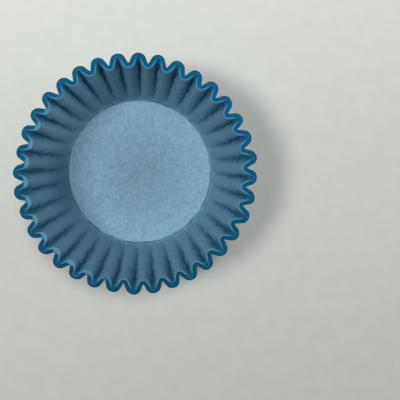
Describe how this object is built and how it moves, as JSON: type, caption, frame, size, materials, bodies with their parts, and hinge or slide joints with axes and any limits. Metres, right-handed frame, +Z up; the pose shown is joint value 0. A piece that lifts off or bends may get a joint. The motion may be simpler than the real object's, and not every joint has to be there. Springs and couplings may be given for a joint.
{
  "type": "cupcake liner",
  "caption": "Pleated paper liner for a cupcake: a flat round base and a fluted wall that leans outwards to an open wavy rim.",
  "frame": {"origin": "centre of the underside of the flat base", "axes": "+Z up along the axis of the round wall, towards the open rim; +X through one outer crest of the pleats"},
  "size_m": [0.0776, 0.0776, 0.029],
  "materials": {
    "paper": "matt dyed greaseproof paper, blue"
  },
  "bodies": {
    "root": {"liner": "paper"}
  },
  "joints": []
}
